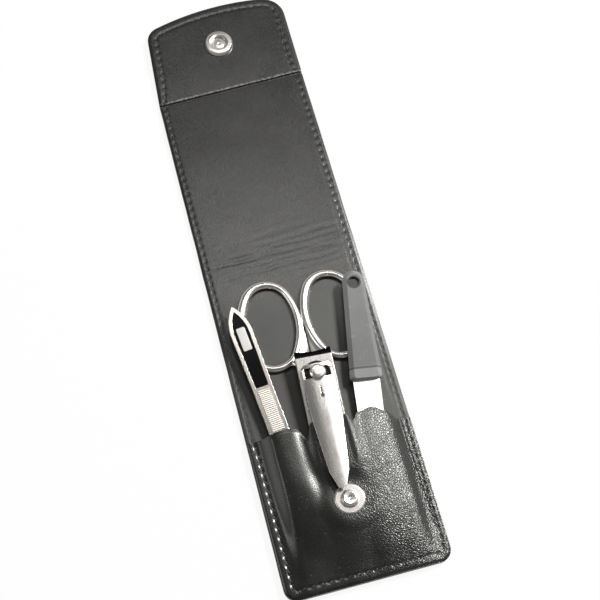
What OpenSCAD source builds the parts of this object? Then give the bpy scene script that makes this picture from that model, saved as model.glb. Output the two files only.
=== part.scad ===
// Manicure set in a folding leather case, lying open and flat.
// The case is a long strip: pocket panel, spine, cover and snap flap. The pocket panel
// carries a wet-moulded pocket with three spaces that hold tweezers, scissors with a
// nail clipper above them, and a nail file.
// Origin: centre of the outline, on the surface that the case lies on. +Y runs from
// the pocket end towards the flap, +Z is up, +X is to the right. Lengths are in mm.
// Distances along Y are measured from the pocket end and shifted once, by from_end().

/* [Case] */
// Width of the case
case_w = 65.5; // [64:0.5:72]
// Length of the pocket panel, from its end to the first crease
base_l = 131.5; // [130:0.5:140]
// Width of the spine, which is also the room for the tools when closed
spine_w = 13; // [12.5:0.5:16]
// Length of the cover, from the second crease to the flap crease
cover_l = 77; // [72:0.5:86]
// Length of the snap flap, up to the top of its arc
flap_l = 43.5; // [41:0.5:54]
// Radius of the corners at the pocket end
end_r = 5; // [3:0.5:8]
// Radius of the left flap corner
flap_left_r = 7.2; // [5:0.1:10]
// Radius of the right flap corner
flap_right_r = 10.2; // [6:0.1:12]
// Radius of the arc across the flap end
flap_arc_r = 122; // [90:1:160]
// Sideways distance of the top of the arc from the middle
flap_top_x = 10; // [0:0.5:12]
// How far the flap narrows on its left side
flap_taper = 2; // [0:0.1:4]
// Slant of the flap crease, in degrees
flap_slant = 2.6; // [0:0.1:4]

/* [Leather] */
// Thickness of the outer leather
leather_t = 1.2; // [0.9:0.1:1.5]
// Thickness of the stiffening boards
board_t = 0.5; // [0.4:0.1:0.8]
// Thickness of the lining over the boards
lining_t = 0.7; // [0.5:0.1:1]
// Distance from the case edge to the boards
board_inset = 6; // [5:0.5:8]
// Gap between panels at the spine creases
crease_gap = 0.6; // [0.4:0.1:0.8]
// Gap in the outer leather at the flap crease
flap_gap = 0.7; // [0.7:0.05:0.9]
// Gap between lining and flap facing
facing_gap = 1.4; // [1.4:0.1:1.8]

/* [Pocket] */
// Thickness of the pocket leather
pocket_t = 1.1; // [0.8:0.1:1.3]
// Distance of the pocket mouth from the pocket end
mouth_y = 63.3; // [61:0.1:65]
// How far the mouth edge dips between two moulded spaces
mouth_dip = 4.6; // [3:0.1:6]
// Half width of the tweezers tunnel
left_half = 8.1; // [7.9:0.1:8.4]
// Half width of the file tunnel
right_half = 9.2; // [9:0.1:9.6]
// Half width of the middle space
middle_half = 9.6; // [9.4:0.1:10]
// Slack of the leather over the file blade
right_slack = 1; // [0.4:0.1:1.4]
// How far the pocket drops from the clipper to the stud
stud_drop = 0.9; // [0.6:0.1:1.4]

/* [Snap] */
// Distance of the stud from the pocket end
stud_y = 31; // [30:0.1:32]
// Radius of the stud's flange
stud_r = 5.9; // [5.6:0.1:6]
// Radius of the stud's knob
knob_r = 3.1; // [2.8:0.1:3.2]
// Height of the knob above the leather
knob_h = 2.1; // [1.9:0.1:2.2]
// Radius of the snap posts
post_r = 1.5; // [1.3:0.1:1.6]
// Radius of the socket's flange
socket_r = 6.3; // [6.1:0.1:6.6]
// Height of the socket above the facing
socket_h = 1.9; // [1.8:0.1:2.2]
// Radial play between knob and socket
snap_play = 0.2; // [0.15:0.05:0.3]
// How far the outside cap stands out of the flap
cap_proud = 0.8; // [0.6:0.1:1.1]

/* [Scissors] */
// Distance of the scissors' pivot from the pocket end
pivot_y = 70; // [69:0.1:71]
// Length of the blades below the pivot
blade_l = 32.5; // [30:0.5:33]
// Distance of the ring centres above the pivot
ring_y = 37.3; // [36:0.1:38]
// Sideways distance of each ring centre
ring_x = 13.4; // [13.3:0.1:13.8]
// Half width of a ring, to the middle of its wire
ring_a = 11.75; // [11:0.05:11.8]
// Half length of a ring, to the middle of its wire
ring_b = 18.3; // [17:0.1:18.5]
// Radius of a ring's round ends
ring_end_r = 9.5; // [8.5:0.1:10]
// Thickness of the ring wire
wire_d = 2.3; // [2:0.1:2.4]
// Thickness of each blade
blade_t = 1.2; // [1:0.05:1.3]
// Radius of the pivot screw
screw_r = 1.4; // [1.2:0.1:1.6]

/* [Clipper] */
// Length of the clipper's jaws
jaw_l = 50.6; // [49.6:0.2:51.6]
// Width of the jaws
jaw_w = 14.6; // [13:0.1:14.8]
// Width of the jaws at the rivet end
tail_w = 9; // [7:0.5:11]
// Thickness of each jaw
jaw_t = 1.1; // [0.9:0.05:1.3]
// Opening between the cutting edges
bite = 1.6; // [1.2:0.1:1.9]
// Length of the bevel in front on the upper jaw
bevel_run = 2.4; // [1.6:0.1:3]
// Distance from the cutting edges back to the pin
pin_back = 10.6; // [10:0.2:11.4]
// Radius of the pin
pin_r = 1.5; // [1.2:0.1:1.7]
// Radius of the pin's head
pin_head_r = 3.2; // [2.8:0.1:3.4]
// Length of the lever from the pin to its tip
lever_l = 46.6; // [44:0.1:47]
// Width of the lever
lever_w = 12.4; // [11:0.1:13]
// Width of the lever's tip
lever_tip_w = 4.2; // [3:0.1:5]
// Thickness of the lever
lever_t = 1.2; // [1:0.1:1.4]

/* [Tweezers] */
// Length of the tweezers
tweezer_l = 86; // [82:0.5:87]
// Width of the head
head_w = 9; // [8.4:0.1:9.2]
// Width of the shank
shank_w = 8; // [7:0.1:8.2]
// Width of each tip
tip_w = 3.4; // [2.5:0.1:4]
// Thickness of each arm
arm_t = 1; // [0.8:0.05:1.2]
// Opening between the tips
tip_gap = 1.2; // [0.8:0.1:1.4]
// Width of the rim around the head inlay
rim = 1.4; // [1.1:0.1:1.8]
// Length of the head inlay
inlay_l = 34; // [28:0.5:38]

/* [File] */
// Length of the handle
handle_l = 46; // [43:0.5:47]
// Width of the handle at the blade end
handle_w = 13; // [12:0.1:13.4]
// Radius of the handle's round end
handle_end_r = 4.5; // [4:0.1:5]
// Thickness of the handle
handle_t = 4.4; // [3.8:0.1:4.6]
// Width of the bevel along the handle's sides
handle_bevel = 1.7; // [1.2:0.1:2]
// Width of the file blade
file_w = 10.8; // [9:0.1:11]
// Length of the file blade outside the handle
file_l = 46; // [42:0.5:47]
// Thickness of the file blade
file_t = 1; // [0.8:0.1:1.2]

/* [Hidden] */
$fn = 48;
cut = 40;           // longer than anything that it cuts through

// Clearances
lay = 0.2;          // a tool above the lining
room = 0.3;         // leather above a tool, and lever above the leather
stack_gap = 0.25;   // the clipper above the scissors
slip = 0.05;        // blade on blade, and head on blade
turn_play = 0.06;   // a turning pin in its bore, all round
rock_play = 0.12;   // under the rivet head, where the upper jaw rocks
inset_play = 0.05;  // a plate in its recess
lift_play = 0.65;   // under the pin head, where the lever lifts

// Panels along the strip
panel_t = leather_t + board_t + lining_t;
cover_y = base_l + spine_w;
flap_y = cover_y + cover_l;
case_l = flap_y + flap_l;
socket_y = 2 * base_l + spine_w - stud_y;           // meets the stud when closed
flap_axis_z = leather_t / 2;
cap_r = socket_r - 0.1;
cap_flat_r = 0.55 * cap_r;
flap_tilt = asin(cap_proud / (socket_y - flap_y - cap_flat_r)); // the cap lies on the table

// Scissors on the lining
scissor_x = 0.6;
scissor_turn = -2;
ring_lean = 3.5;
scissor_z = panel_t + lay;
upper_blade_z = scissor_z + blade_t + slip;
screw_head_z = upper_blade_z + blade_t + slip;
shank_low = 12;     // below this the two halves lie on each other
shank_inset = 0.1; // the shanks are a little thinner than the wire
bead_gap = 0.6;
bead_rise = 0.16;
screw_head_r = 2.4;
screw_foot_r = 2.1;
screw_foot_h = 0.4;

// Clipper above the scissors
tail_x = -1.3;
tail_y = 41.8;
clipper_turn = -3.2;
clipper_pitch = 1.5;
clipper_z = upper_blade_z + blade_t + stack_gap;
rivet_y = 5;
rivet_r = 1.1;
rivet_head_r = 1.9;
rivet_head_h = 0.4;
edge_rise = 0.25;   // of the lower cutting edge above the jaw's inner face
edge_drop = 0.15;   // of the upper cutting edge below the jaw's inner face
pin_y = jaw_l - pin_back;
jaw_slope = (edge_rise + bite + edge_drop) / (jaw_l - rivet_y);
mouth_run = mouth_y - tail_y;
function jaw_top(y) = 2 * jaw_t + max(0, y - rivet_y) * jaw_slope;

// Tweezers in the left tunnel
tweezer_x = -15.7;
tweezer_y = 32.5;
tweezer_turn = 6.2;
tweezer_pitch = 2.6;
tweezer_z = panel_t + lay;
weld_y = 70;
arch_l = 12;
head_top = arm_t + 1.7;
recess_t = 0.6;
inlay_t = 0.45;
plaque_t = 0.25;

// File in the right tunnel
file_x = 13.05;
file_y = 30.4;
file_turn = -8.4;
file_pitch = 2.3;
file_z = panel_t + 0.45;
file_rise = 0.9;    // of the blade above the handle's underside
tang_l = 14;
tang_w = 6;

// Moulded pocket: inner heights follow the tools
left_exp = 3;
right_exp = 2.6;
middle_exp = 7;
function section(u, e) = abs(u) >= 1 ? 0 : pow(1 - pow(abs(u), e), 1 / e);
function fade(y, low, e) = pow(max(0, min(1, (y - low) / (mouth_y - low))), e);
tail_h = clipper_z + 2 * jaw_t + room - panel_t;
stud_h = tail_h - stud_drop;
middle_h = (clipper_z + mouth_run * tan(clipper_pitch) + jaw_top(mouth_run) + room - panel_t)
    / section((jaw_w / 2 + room) / middle_half, middle_exp);
left_h = (tweezer_z + (mouth_y - tweezer_y) * tan(tweezer_pitch) + head_top + room - panel_t)
    / section((shank_w / 2 + room + 1.7) / left_half, left_exp);
right_h = right_slack
    + (file_z + (mouth_y - file_y) * tan(file_pitch) + file_rise + file_t + room - panel_t)
    / section((file_w / 2 + room) / right_half, right_exp);
stud_z = panel_t + stud_h + pocket_t;
lever_z = panel_t + middle_h + pocket_t + room - clipper_z - mouth_run * tan(clipper_pitch);
saddle_z = jaw_top(jaw_l) + rock_play;
pin_head_z = lever_z + lever_t + lift_play;

function left_c(y) = lookup(y, [[30, -16], [mouth_y, -17.2]]);
function right_c(y) = lookup(y, [[26, 14.8], [mouth_y, 18.3]]);
function left_in(x, y) = left_h * fade(y, 19, 0.35) * section((x - left_c(y)) / left_half, left_exp);
function right_in(x, y) =
    right_h * fade(y, 10, 0.5) * section((x - right_c(y)) / right_half, right_exp);
function middle_in(x, y) = section(x / middle_half, middle_exp) * lookup(y, [
    [7, 0], [13, stud_h * 0.6], [stud_y - 1.6 * stud_r, stud_h * 0.95], [stud_y - 1.05 * stud_r, stud_h],
    [stud_y + 1.05 * stud_r, stud_h], [tail_y, tail_h], [mouth_y, middle_h]]);
function inner_h(x, y) =
    pow(pow(left_in(x, y), 4) + pow(right_in(x, y), 4) + pow(middle_in(x, y), 4), 1 / 4);
function mouth(x) = mouth_y - lookup(x, [
    [-26, 0.8], [-17, 0], [-13, 0.8], [-9.4, mouth_dip + 1], [-7, 0.3], [0, 0], [7, 0.2],
    [9.3, mouth_dip - 1], [12, 0.4], [18, -0.6], [23, 1.8], [27.4, mouth_dip + 1.3]]);

module from_end() { translate([0, -case_l / 2, 0]) children(); }

// Outline of the strip between two distances. The pocket end has round corners, and the
// far end may slant.
module strip_2d(from, to, slant = 0) {
    w = case_w / 2;
    low = max(from, end_r);
    polygon([[-w, low], [w, low], [w, to + w * tan(slant)], [-w, to - w * tan(slant)]]);
    if (from < end_r) {
        translate([-w + end_r, from]) square([case_w - 2 * end_r, end_r]);
        for (side = [-1, 1]) translate([side * (w - end_r), end_r]) circle(end_r);
    }
}

// Outline of the flap from its slanted crease: a left side that comes in, a straight
// right side, two round corners and one shallow arc
module flap_2d(from) {
    w = case_w / 2;
    rise = w * tan(flap_slant);
    arc_c = [flap_top_x, case_l - flap_arc_r];
    left_x = -w + flap_taper + flap_left_r;
    right_x = w - flap_right_r;
    left_c = [left_x, arc_c[1] + sqrt(pow(flap_arc_r - flap_left_r, 2) - pow(left_x - arc_c[0], 2))];
    right_c = [right_x, arc_c[1] + sqrt(pow(flap_arc_r - flap_right_r, 2) - pow(right_x - arc_c[0], 2))];
    left_top = arc_c + (left_c - arc_c) * flap_arc_r / (flap_arc_r - flap_left_r);
    right_top = arc_c + (right_c - arc_c) * flap_arc_r / (flap_arc_r - flap_right_r);
    run = left_c - [-w, from - rise];
    side = atan2(run[1], run[0]) + asin(flap_left_r / norm(run));
    left_low = left_c + flap_left_r * [-sin(side), cos(side)];
    polygon([[-w, from - rise], [w, from + rise], [w, right_c[1]], right_c, right_top, left_top,
        left_c, left_low]);
    translate(left_c) circle(flap_left_r);
    translate(right_c) circle(flap_right_r);
    intersection() {
        translate(arc_c) circle(flap_arc_r);
        polygon([[left_top[0], from + rise], [right_top[0], from + rise],
            [right_top[0], case_l + 1], [left_top[0], case_l + 1]]);
    }
}

module board_2d(from, to) {
    translate([-case_w / 2 + board_inset, from + board_inset])
        square([case_w - 2 * board_inset, to - from - 2 * board_inset]);
}

module outer_sheet(from, to, slant = 0) { linear_extrude(leather_t) strip_2d(from, to, slant); }

// Lining with a recess below for the board, where the panel has one
module inner_sheet(from, to, board_from, board_to, boarded, slant = 0) {
    translate([0, 0, leather_t]) difference() {
        linear_extrude(board_t + lining_t) strip_2d(from, to, slant);
        if (boarded) translate([0, 0, -board_t])
            linear_extrude(2 * board_t) board_2d(board_from, board_to);
    }
}

module board(from, to) {
    translate([0, 0, leather_t]) linear_extrude(board_t) board_2d(from, to);
}

module base_leather() { color([0.1, 0.1, 0.1]) from_end() outer_sheet(0, base_l - crease_gap / 2); }

module base_board() { color([0.45, 0.4, 0.33]) from_end() board(0, base_l); }

module base_lining() {
    color([0.32, 0.32, 0.3]) from_end() inner_sheet(0, base_l - crease_gap / 2, 0, base_l, true);
}

module spine_leather() {
    color([0.1, 0.1, 0.1]) from_end() outer_sheet(base_l + crease_gap / 2, cover_y - crease_gap / 2);
}

module spine_lining() {
    color([0.32, 0.32, 0.3]) from_end()
        inner_sheet(base_l + crease_gap / 2, cover_y - crease_gap / 2, 0, 0, false);
}

module cover_leather() {
    color([0.1, 0.1, 0.1]) from_end()
        outer_sheet(cover_y + crease_gap / 2, flap_y - flap_gap / 2, flap_slant);
}

module cover_board() { color([0.45, 0.4, 0.33]) from_end() board(cover_y, flap_y); }

module cover_lining() {
    color([0.32, 0.32, 0.3]) from_end()
        inner_sheet(cover_y + crease_gap / 2, flap_y - facing_gap / 2, cover_y, flap_y, true,
            flap_slant);
}

// The flap leans up a little from its crease, because its cap lies on the table
module on_flap() {
    from_end() translate([0, flap_y, flap_axis_z]) rotate(flap_slant) rotate([flap_tilt, 0, 0])
        rotate(-flap_slant) translate([0, -flap_y, -flap_axis_z]) children();
}

module flap_leather() {
    color([0.1, 0.1, 0.1]) on_flap() difference() {
        linear_extrude(leather_t) flap_2d(flap_y + flap_gap / 2);
        translate([0, socket_y, -cut / 2]) cylinder(r = post_r, h = cut);
    }
}

module flap_facing() {
    color([0.2, 0.2, 0.19]) on_flap() difference() {
        translate([0, 0, leather_t])
            linear_extrude(panel_t - leather_t) flap_2d(flap_y + facing_gap / 2);
        translate([0, socket_y, -cut / 2]) cylinder(r = post_r, h = cut);
    }
}

// Grid of the moulded sheet: columns across the pocket, rows from its end to the mouth
pocket_cols = 48;
pocket_rows = 24;
overhang = 1;
function col_x(i) = (case_w / 2 + overhang) * (2 * i / pocket_cols - 1);
function row_y(i, j) = -overhang + (mouth(col_x(i)) + overhang) * j / pocket_rows;
function grid_point(i, j, rise) =
    [col_x(i), row_y(i, j), panel_t + rise + inner_h(col_x(i), row_y(i, j))];
function at(i, j) = j * (pocket_cols + 1) + i;

module moulded_sheet() {
    below = (pocket_cols + 1) * (pocket_rows + 1);
    polyhedron(
        points = [for (rise = [pocket_t, 0]) for (j = [0:pocket_rows]) for (i = [0:pocket_cols])
            grid_point(i, j, rise)],
        faces = concat(
            [for (j = [0:pocket_rows - 1]) for (i = [0:pocket_cols - 1]) each [
                [at(i, j), at(i, j + 1), at(i + 1, j + 1)],
                [at(i, j), at(i + 1, j + 1), at(i + 1, j)],
                [below + at(i + 1, j + 1), below + at(i, j + 1), below + at(i, j)],
                [below + at(i + 1, j), below + at(i + 1, j + 1), below + at(i, j)]]],
            [for (i = [0:pocket_cols - 1]) each [
                [below + at(i, 0), at(i, 0), at(i + 1, 0)],
                [below + at(i, 0), at(i + 1, 0), below + at(i + 1, 0)],
                [at(i + 1, pocket_rows), at(i, pocket_rows), below + at(i, pocket_rows)],
                [below + at(i + 1, pocket_rows), at(i + 1, pocket_rows), below + at(i, pocket_rows)]]],
            [for (j = [0:pocket_rows - 1]) each [
                [at(0, j + 1), at(0, j), below + at(0, j)],
                [below + at(0, j + 1), at(0, j + 1), below + at(0, j)],
                [below + at(pocket_cols, j), at(pocket_cols, j), at(pocket_cols, j + 1)],
                [below + at(pocket_cols, j), at(pocket_cols, j + 1),
                    below + at(pocket_cols, j + 1)]]]));
}

module pocket_front() {
    color([0.09, 0.09, 0.09]) from_end() difference() {
        intersection() {
            moulded_sheet();
            linear_extrude(cut) strip_2d(0, mouth_y + overhang);
        }
        translate([0, stud_y, 0]) cylinder(r = post_r, h = cut);
    }
}

module snap_stud() {
    color([0.85, 0.85, 0.84]) from_end() translate([0, stud_y, stud_z]) rotate_extrude() polygon([
        [post_r, 0], [stud_r, 0], [stud_r, 0.3], [stud_r - 0.5, 0.5], [knob_r + 0.5, 0.5],
        [knob_r - 0.2, 0.75], [knob_r, knob_h - 0.75], [knob_r - 0.2, knob_h - 0.2],
        [knob_r - 0.8, knob_h], [1, knob_h - 0.15], [0.5, knob_h - 0.4], [0, knob_h - 0.4],
        [0, knob_h - 0.7], [post_r, knob_h - 0.7]]);
}

module stud_post() {
    foot_r = 4;
    foot_h = 0.6;
    color([0.7, 0.7, 0.69]) from_end() translate([0, stud_y, stud_z - pocket_t]) {
        translate([0, 0, -foot_h]) cylinder(r = foot_r, h = foot_h);
        cylinder(r = post_r, h = pocket_t + knob_h - 0.7);
    }
}

socket_floor = 0.25;
module snap_socket() {
    hole_r = knob_r + snap_play;
    groove_r = hole_r + 0.35;
    color([0.85, 0.85, 0.84]) on_flap() translate([0, socket_y, panel_t]) rotate_extrude() polygon([
        [post_r, 0], [socket_r, 0], [socket_r, 0.5], [socket_r - 0.5, socket_h - 0.3],
        [socket_r - 0.8, socket_h - 0.1], [hole_r + 0.8, socket_h], [hole_r, socket_h - 0.3],
        [hole_r, 1.4], [groove_r, 1.4], [groove_r, 0.8], [hole_r, 0.8], [hole_r, socket_floor],
        [post_r, socket_floor]]);
}

module socket_spring() {
    spring_wire = 0.25;
    spring_r = knob_r + snap_play;
    color([0.6, 0.6, 0.6]) on_flap() translate([0, socket_y, panel_t + 1.1]) rotate(120)
        rotate_extrude(angle = 300) translate([spring_r, 0]) circle(spring_wire);
}

module socket_cap() {
    clinch_r = 2.2;
    color([0.7, 0.7, 0.69]) on_flap() translate([0, socket_y, 0]) rotate_extrude() polygon([
        [0, -cap_proud], [cap_flat_r, -cap_proud], [0.85 * cap_r, -0.7 * cap_proud],
        [cap_r, -0.25 * cap_proud], [cap_r, 0], [post_r, 0], [post_r, panel_t + socket_floor],
        [clinch_r, panel_t + socket_floor], [clinch_r, panel_t + socket_floor + 0.25],
        [0.8, panel_t + socket_floor + 0.35], [0, panel_t + socket_floor + 0.2]]);
}

// Scissors: each half is a ring of round wire, a flat shank and a blade.
// They are drawn about the pivot, with the rings towards +Y.
module on_scissors() {
    from_end() translate([scissor_x, pivot_y, 0]) rotate(scissor_turn) children();
}

// Bent wire, a little short of both ends of its sweep
module wire_arc(centre, r, start, sweep) {
    short = 180 * bead_gap / (PI * r);
    translate(centre) rotate(start + short) rotate_extrude(angle = sweep - 2 * short, $fn = 96)
        translate([r, 0]) circle(wire_d / 2, $fn = 24);
}

// Oval ring: four bends of wire, joined by a small bead where two bends meet
module oval_ring() {
    end_y = ring_b - ring_end_r;
    narrow = ring_a - ring_end_r;
    side_x = (end_y * end_y - narrow * narrow) / (2 * narrow);
    half_sweep = atan(end_y / side_x);
    for (turn = [0, 180]) rotate(turn) {
        wire_arc([-side_x, 0], side_x + ring_a, -half_sweep, 2 * half_sweep);
        wire_arc([0, end_y], ring_end_r, half_sweep, 180 - 2 * half_sweep);
        for (side = [0, 1]) mirror([side, 0, 0])
            translate([ring_end_r * cos(half_sweep), end_y + ring_end_r * sin(half_sweep)])
                sphere(wire_d / 2 + bead_rise, $fn = 24);
    }
}

module shank_2d() {
    polygon([[-0.15, shank_low], [-0.15, ring_y + 1], [-2.4, ring_y + 2], [-3.1, 33.9], [-4.2, 29.2],
        [-6.1, 23.1], [-8.5, ring_y - ring_b], [-6.6, ring_y - ring_b - 0.9], [-4.6, shank_low]]);
}

module blade_2d() {
    polygon([[-0.15, shank_low + 2], [-4, shank_low + 2], [-4.6, shank_low], [-4, 5], [-3.7, 0],
        [-2.6, -4], [-1, -8], [-0.9, 3 - blade_l], [0, -blade_l], [0.7, 1 - blade_l], [3, -8],
        [3.7, 0], [2.6, 5], [-0.15, shank_low]]);
}

module scissor_half(blade_z) {
    difference() {
        union() {
            translate([-ring_x, ring_y, scissor_z + wire_d / 2]) rotate(-ring_lean) oval_ring();
            translate([0, 0, scissor_z + shank_inset])
                linear_extrude(wire_d - 2 * shank_inset) shank_2d();
            translate([0, 0, blade_z]) linear_extrude(blade_t) blade_2d();
        }
        cylinder(r = screw_r + turn_play, h = cut);
        cylinder(r = screw_foot_r + turn_play, h = scissor_z + screw_foot_h + slip);
    }
}

module scissor_left() { color([0.8, 0.79, 0.77]) on_scissors() scissor_half(scissor_z); }

module scissor_right() {
    color([0.8, 0.79, 0.77]) on_scissors() mirror([1, 0, 0]) scissor_half(upper_blade_z);
}

module scissor_screw() {
    head_h = 0.5;
    slot_w = 0.6;
    color([0.75, 0.75, 0.73]) on_scissors() difference() {
        union() {
            translate([0, 0, scissor_z]) cylinder(r = screw_foot_r, h = screw_foot_h);
            translate([0, 0, scissor_z]) cylinder(r = screw_r, h = screw_head_z - scissor_z);
            translate([0, 0, screw_head_z]) cylinder(r = screw_head_r, h = head_h);
        }
        translate([-screw_head_r, -slot_w / 2, screw_head_z + head_h / 2])
            cube([2 * screw_head_r, slot_w, head_h]);
    }
}

// Nail clipper: drawn from its rivet end, cutting edges towards +Y, underside at z = 0
module on_clipper() {
    from_end() translate([tail_x, tail_y, clipper_z]) rotate([clipper_pitch, 0, clipper_turn])
        children();
}

module jaw_2d() {
    edge_r = 24;
    edge_hollow = 1.1;
    taper_y = 20;
    difference() {
        polygon([[0.2 * tail_w, 0], [-0.2 * tail_w, 0], [-0.4 * tail_w, 0.1 * tail_w],
            [-tail_w / 2, 0.3 * tail_w], [-jaw_w / 2, taper_y], [-jaw_w / 2, jaw_l],
            [jaw_w / 2, jaw_l], [jaw_w / 2, taper_y], [tail_w / 2, 0.3 * tail_w],
            [0.4 * tail_w, 0.1 * tail_w]]);
        translate([0, jaw_l + edge_r - edge_hollow]) circle(edge_r);
    }
}

// A plate with the jaws' outline and the given side view, as points of distance and height
module jaw_plate(side_view) {
    intersection() {
        linear_extrude(cut) jaw_2d();
        translate([-cut / 2, 0, 0]) rotate([90, 0, 90]) linear_extrude(cut) polygon(side_view);
    }
}

module clipper_lower_jaw() {
    edge_z = jaw_t + edge_rise;
    color([0.82, 0.81, 0.79]) on_clipper() difference() {
        jaw_plate([[0, 0], [jaw_l - 4, 0], [jaw_l, edge_z - 0.1], [jaw_l, edge_z],
            [jaw_l - 3, jaw_t], [0, jaw_t]]);
        translate([0, rivet_y, -cut / 2]) cylinder(r = rivet_r, h = cut);
        translate([0, rivet_y, -rivet_head_h]) cylinder(r = rivet_head_r, h = 2 * rivet_head_h);
        translate([0, pin_y, -cut / 2]) cylinder(r = pin_r + turn_play, h = cut);
        translate([0, pin_y, -1]) cylinder(r = pin_foot_r + turn_play, h = 1 + pin_foot_h + turn_play);
    }
}

module clipper_upper_jaw() {
    edge_z = jaw_t + edge_rise + bite;
    front_y = jaw_l - 3;
    color([0.82, 0.81, 0.79]) on_clipper() difference() {
        jaw_plate([[0, jaw_t], [rivet_y, jaw_t], [front_y, jaw_t + (front_y - rivet_y) * jaw_slope],
            [jaw_l, edge_z], [jaw_l, edge_z + 0.1], [jaw_l - bevel_run, jaw_top(jaw_l - bevel_run)],
            [rivet_y, 2 * jaw_t], [0, 2 * jaw_t]]);
        translate([0, rivet_y, -cut / 2]) cylinder(r = rivet_r + rock_play, h = cut);
        translate([0, rivet_y, 2 * jaw_t - rivet_head_h])
            cylinder(r = rivet_head_r + rock_play, h = cut);
        translate([0, pin_y, -cut / 2]) cylinder(r = pin_r + 3 * rock_play, h = cut);
    }
}

module clipper_rivet() {
    color([0.7, 0.7, 0.68]) on_clipper() translate([0, rivet_y, 0]) {
        cylinder(r = rivet_head_r, h = rivet_head_h);
        cylinder(r = rivet_r, h = 2 * jaw_t);
        translate([0, 0, 2 * jaw_t - rivet_head_h + rock_play])
            cylinder(r = rivet_head_r, h = rivet_head_h - rock_play);
    }
}

pin_foot_r = 2.6;
pin_foot_h = 0.4;
pin_head_h = 0.8;
module clipper_pin() {
    color([0.88, 0.87, 0.85]) on_clipper() translate([0, pin_y, 0]) rotate_extrude() polygon([
        [0, 0], [pin_foot_r, 0], [pin_foot_r, pin_foot_h], [pin_r, pin_foot_h], [pin_r, pin_head_z],
        [pin_head_r - 0.2, pin_head_z], [pin_head_r, pin_head_z + 0.25],
        [0.75 * pin_head_r, pin_head_z + 0.65], [0.4 * pin_head_r, pin_head_z + pin_head_h],
        [0, pin_head_z + pin_head_h]]);
}

module lever_2d() {
    heel_y = 3.8;
    difference() {
        union() {
            polygon([[-lever_w / 2 + 1.2, heel_y], [lever_w / 2 - 1.2, heel_y], [lever_w / 2, heel_y - 1.2],
                [lever_w / 2, -9], [0.48 * lever_w, -18], [0.4 * lever_w, -29],
                [0.31 * lever_w, 7 - lever_l], [lever_tip_w / 2, lever_tip_w / 2 - lever_l],
                [-lever_tip_w / 2, lever_tip_w / 2 - lever_l], [-0.31 * lever_w, 7 - lever_l],
                [-0.4 * lever_w, -29], [-0.48 * lever_w, -18], [-lever_w / 2, -9],
                [-lever_w / 2, heel_y - 1.2]]);
            translate([0, lever_tip_w / 2 - lever_l]) circle(lever_tip_w / 2);
        }
        translate([-window_x, -2]) square([2 * window_x, 4.4]);
        translate([-0.3, -9.5]) square([0.6, 4]);
        translate([0, -9.5]) circle(0.85);
    }
}

window_x = lever_w / 2 - 1;
module clipper_lever() {
    crown_r = 22;
    color([0.86, 0.85, 0.83]) on_clipper() translate([0, pin_y, 0]) {
        intersection() {
            translate([0, 0, lever_z]) linear_extrude(lever_t) lever_2d();
            translate([0, cut, lever_z + lever_t - crown_r]) rotate([90, 0, 0])
                cylinder(r = crown_r, h = 3 * cut, $fn = 96);
        }
        for (side = [-1, 1]) translate([side * (window_x + 0.45) - 0.45, -2, saddle_z])
            cube([0.9, 4, lever_z - saddle_z + lever_t / 2]);
    }
}

// Tweezers: drawn from the tips, head towards +Y, underside of the lower arm at z = 0
module on_tweezers() {
    from_end() translate([tweezer_x, tweezer_y, tweezer_z])
        rotate([tweezer_pitch, 0, tweezer_turn]) children();
}

// Outline of the tweezers, drawn in by an inset from the edge, with a pointed-arch head
module tweezer_2d(inset, from) {
    arch_y = tweezer_l - arch_l;
    half = head_w / 2;
    arch_r = (half * half + arch_l * arch_l) / (2 * half);
    polygon([[-tip_w / 2 + inset, 0], [tip_w / 2 - inset, 1.5], [shank_w / 2 - inset, 24],
        [shank_w / 2 - inset, 50], [half - inset, arch_y], [-half + inset, arch_y],
        [-shank_w / 2 + inset, 50], [-shank_w / 2 + inset, 24]]);
    intersection() {
        translate([half - arch_r, arch_y]) circle(arch_r - inset, $fn = 96);
        translate([arch_r - half, arch_y]) circle(arch_r - inset, $fn = 96);
        translate([-half, arch_y]) square([head_w, arch_l]);
    }
}

module tweezer_plate(side_view) {
    intersection() {
        linear_extrude(cut) tweezer_2d(0, 0);
        translate([-cut / 2, 0, 0]) rotate([90, 0, 90]) linear_extrude(cut) polygon(side_view);
    }
}

module inlay_2d(inset) {
    intersection() {
        tweezer_2d(rim + inset, 0);
        translate([-head_w, tweezer_l - rim - inlay_l + inset]) square([2 * head_w, inlay_l + rim]);
    }
}

module tweezer_upper_arm() {
    tip_z = arm_t + tip_gap;
    color([0.8, 0.78, 0.74]) on_tweezers() difference() {
        tweezer_plate([[0, tip_z], [weld_y, arm_t], [tweezer_l, arm_t], [tweezer_l, head_top],
            [30, head_top], [0, tip_z + 0.7 * arm_t]]);
        translate([0, 0, head_top - recess_t]) linear_extrude(cut) inlay_2d(0);
    }
}

module tweezer_lower_arm() {
    color([0.8, 0.78, 0.74]) on_tweezers()
        tweezer_plate([[0, 0.3], [12, 0], [tweezer_l, 0], [tweezer_l, arm_t], [0, arm_t]]);
}

module tweezer_inlay() {
    color([0.03, 0.03, 0.03]) on_tweezers() translate([0, 0, head_top - recess_t])
        linear_extrude(inlay_t) inlay_2d(inset_play);
}

module tweezer_plaque() {
    plaque_w = 3.6;
    plaque_l = 10;
    plaque_r = 0.6;
    low_y = tweezer_l - arch_l - 7.5;
    color([0.75, 0.74, 0.72]) on_tweezers() translate([0, low_y, head_top - recess_t + inlay_t])
        linear_extrude(plaque_t) {
            translate([-plaque_w / 2, plaque_r]) square([plaque_w, plaque_l - 2 * plaque_r]);
            translate([-plaque_w / 2 + plaque_r, 0]) square([plaque_w - 2 * plaque_r, plaque_l]);
            for (x = [-1, 1]) for (y = [plaque_r, plaque_l - plaque_r])
                translate([x * (plaque_w / 2 - plaque_r), y]) circle(plaque_r);
        }
}

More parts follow.
